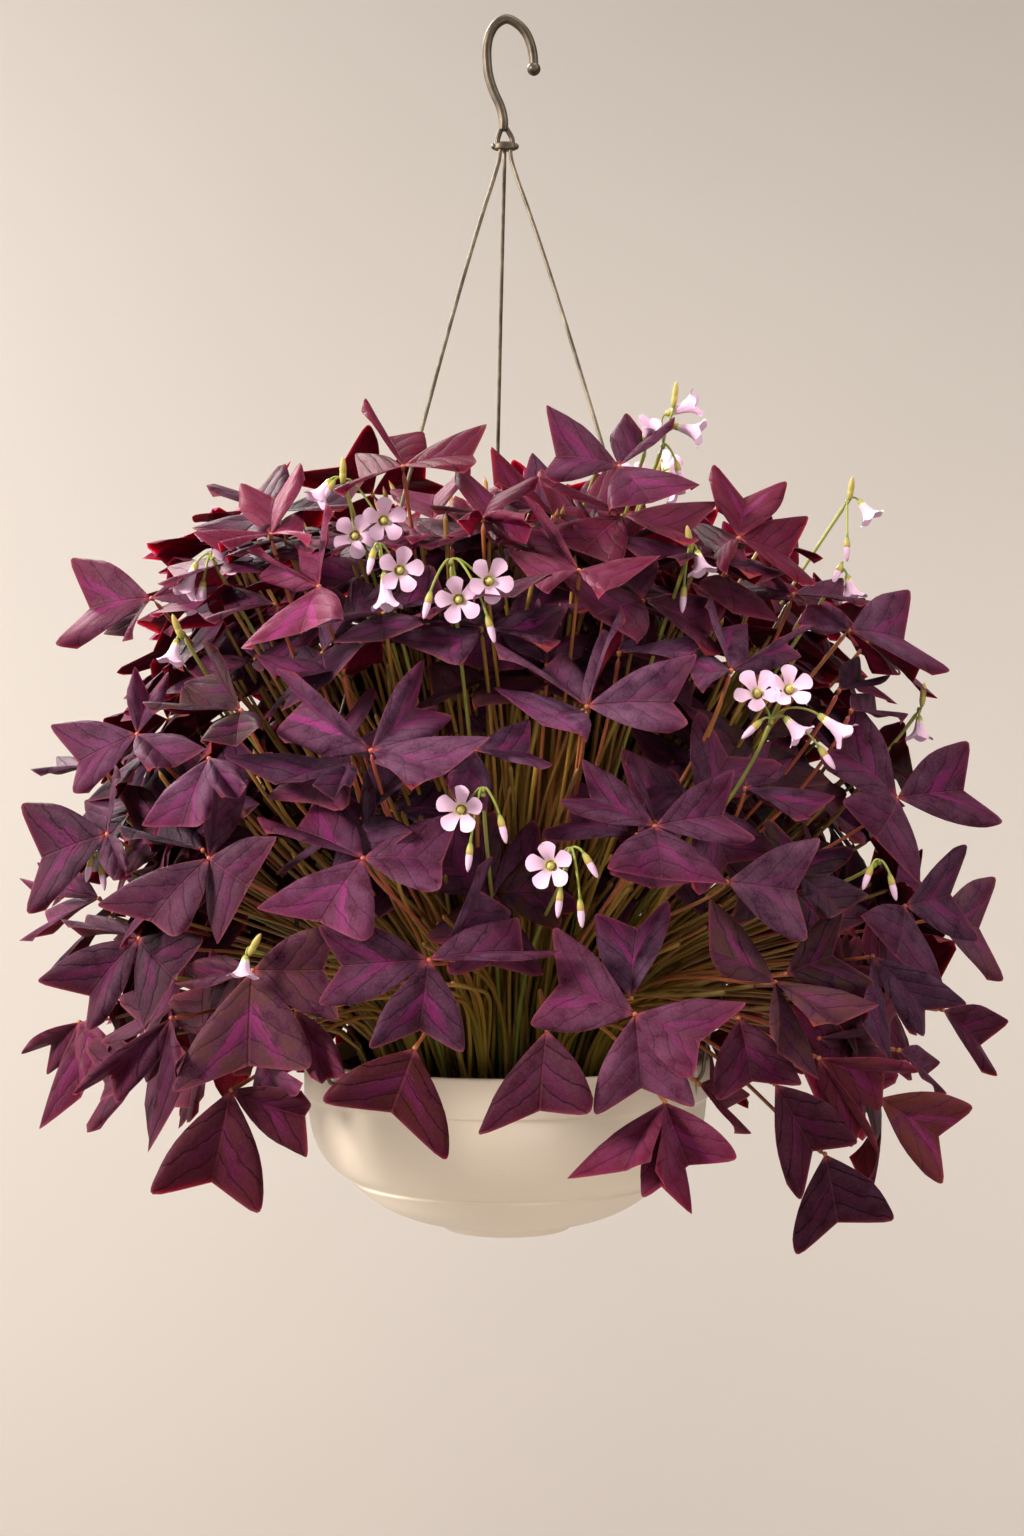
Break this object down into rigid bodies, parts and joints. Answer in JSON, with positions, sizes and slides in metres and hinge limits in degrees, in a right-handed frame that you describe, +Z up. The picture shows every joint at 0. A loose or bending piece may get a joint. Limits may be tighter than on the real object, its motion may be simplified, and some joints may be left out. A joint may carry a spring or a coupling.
{
  "type": "hanging pot plant",
  "caption": "Purple shamrock with triangular leaflets and pale pink flowers, spilling over a shallow round bowl hung by wires from a hook.",
  "frame": {"origin": "seat of the hook, the inner top of its crook, where it hangs", "axes": "+Z up, front towards -Y, +X to the right of the front"},
  "size_m": [0.5002, 0.4535, 0.6057],
  "materials": {
    "hanger_metal": "dark bronzed, satin",
    "wire_metal": "dark bronzed, satin",
    "pot_glaze": "cream, satin",
    "potting_soil": "dark crumbly soil",
    "leaves": "dark purple leaf, soft sheen",
    "flowers": "pale lilac-pink petals on green stalks"
  },
  "bodies": {
    "root": {"hanger_hook": "hanger_metal", "hanger_collar": "hanger_metal", "hanger_wire_1": "wire_metal", "hanger_wire_2": "wire_metal", "hanger_wire_3": "wire_metal", "pot": "pot_glaze", "soil": "potting_soil", "leaf_clump_1": "leaves", "leaf_clump_2": "leaves", "leaf_clump_3": "leaves", "leaf_clump_4": "leaves", "leaf_clump_5": "leaves", "leaf_clump_6": "leaves", "leaf_clump_7": "leaves", "leaf_clump_8": "leaves", "leaf_clump_9": "leaves", "leaf_clump_10": "leaves", "leaf_clump_11": "leaves", "leaf_clump_12": "leaves", "leaf_clump_13": "leaves", "leaf_clump_14": "leaves", "leaf_clump_15": "leaves", "leaf_clump_16": "leaves", "leaf_clump_17": "leaves", "leaf_clump_18": "leaves", "leaf_clump_19": "leaves", "leaf_clump_20": "leaves", "leaf_clump_21": "leaves", "leaf_clump_22": "leaves", "leaf_clump_23": "leaves", "leaf_clump_24": "leaves", "leaf_clump_25": "leaves", "leaf_clump_26": "leaves", "flower_head_1": "flowers", "flower_head_2": "flowers", "flower_head_3": "flowers", "flower_head_4": "flowers", "flower_head_5": "flowers", "flower_head_6": "flowers", "flower_head_7": "flowers", "flower_head_8": "flowers", "flower_head_9": "flowers", "flower_head_10": "flowers", "flower_head_11": "flowers", "flower_head_12": "flowers", "flower_head_13": "flowers", "flower_head_14": "flowers", "flower_head_15": "flowers", "flower_head_16": "flowers", "flower_head_17": "flowers", "flower_head_18": "flowers", "flower_head_19": "flowers", "flower_head_20": "flowers"}
  },
  "joints": []
}
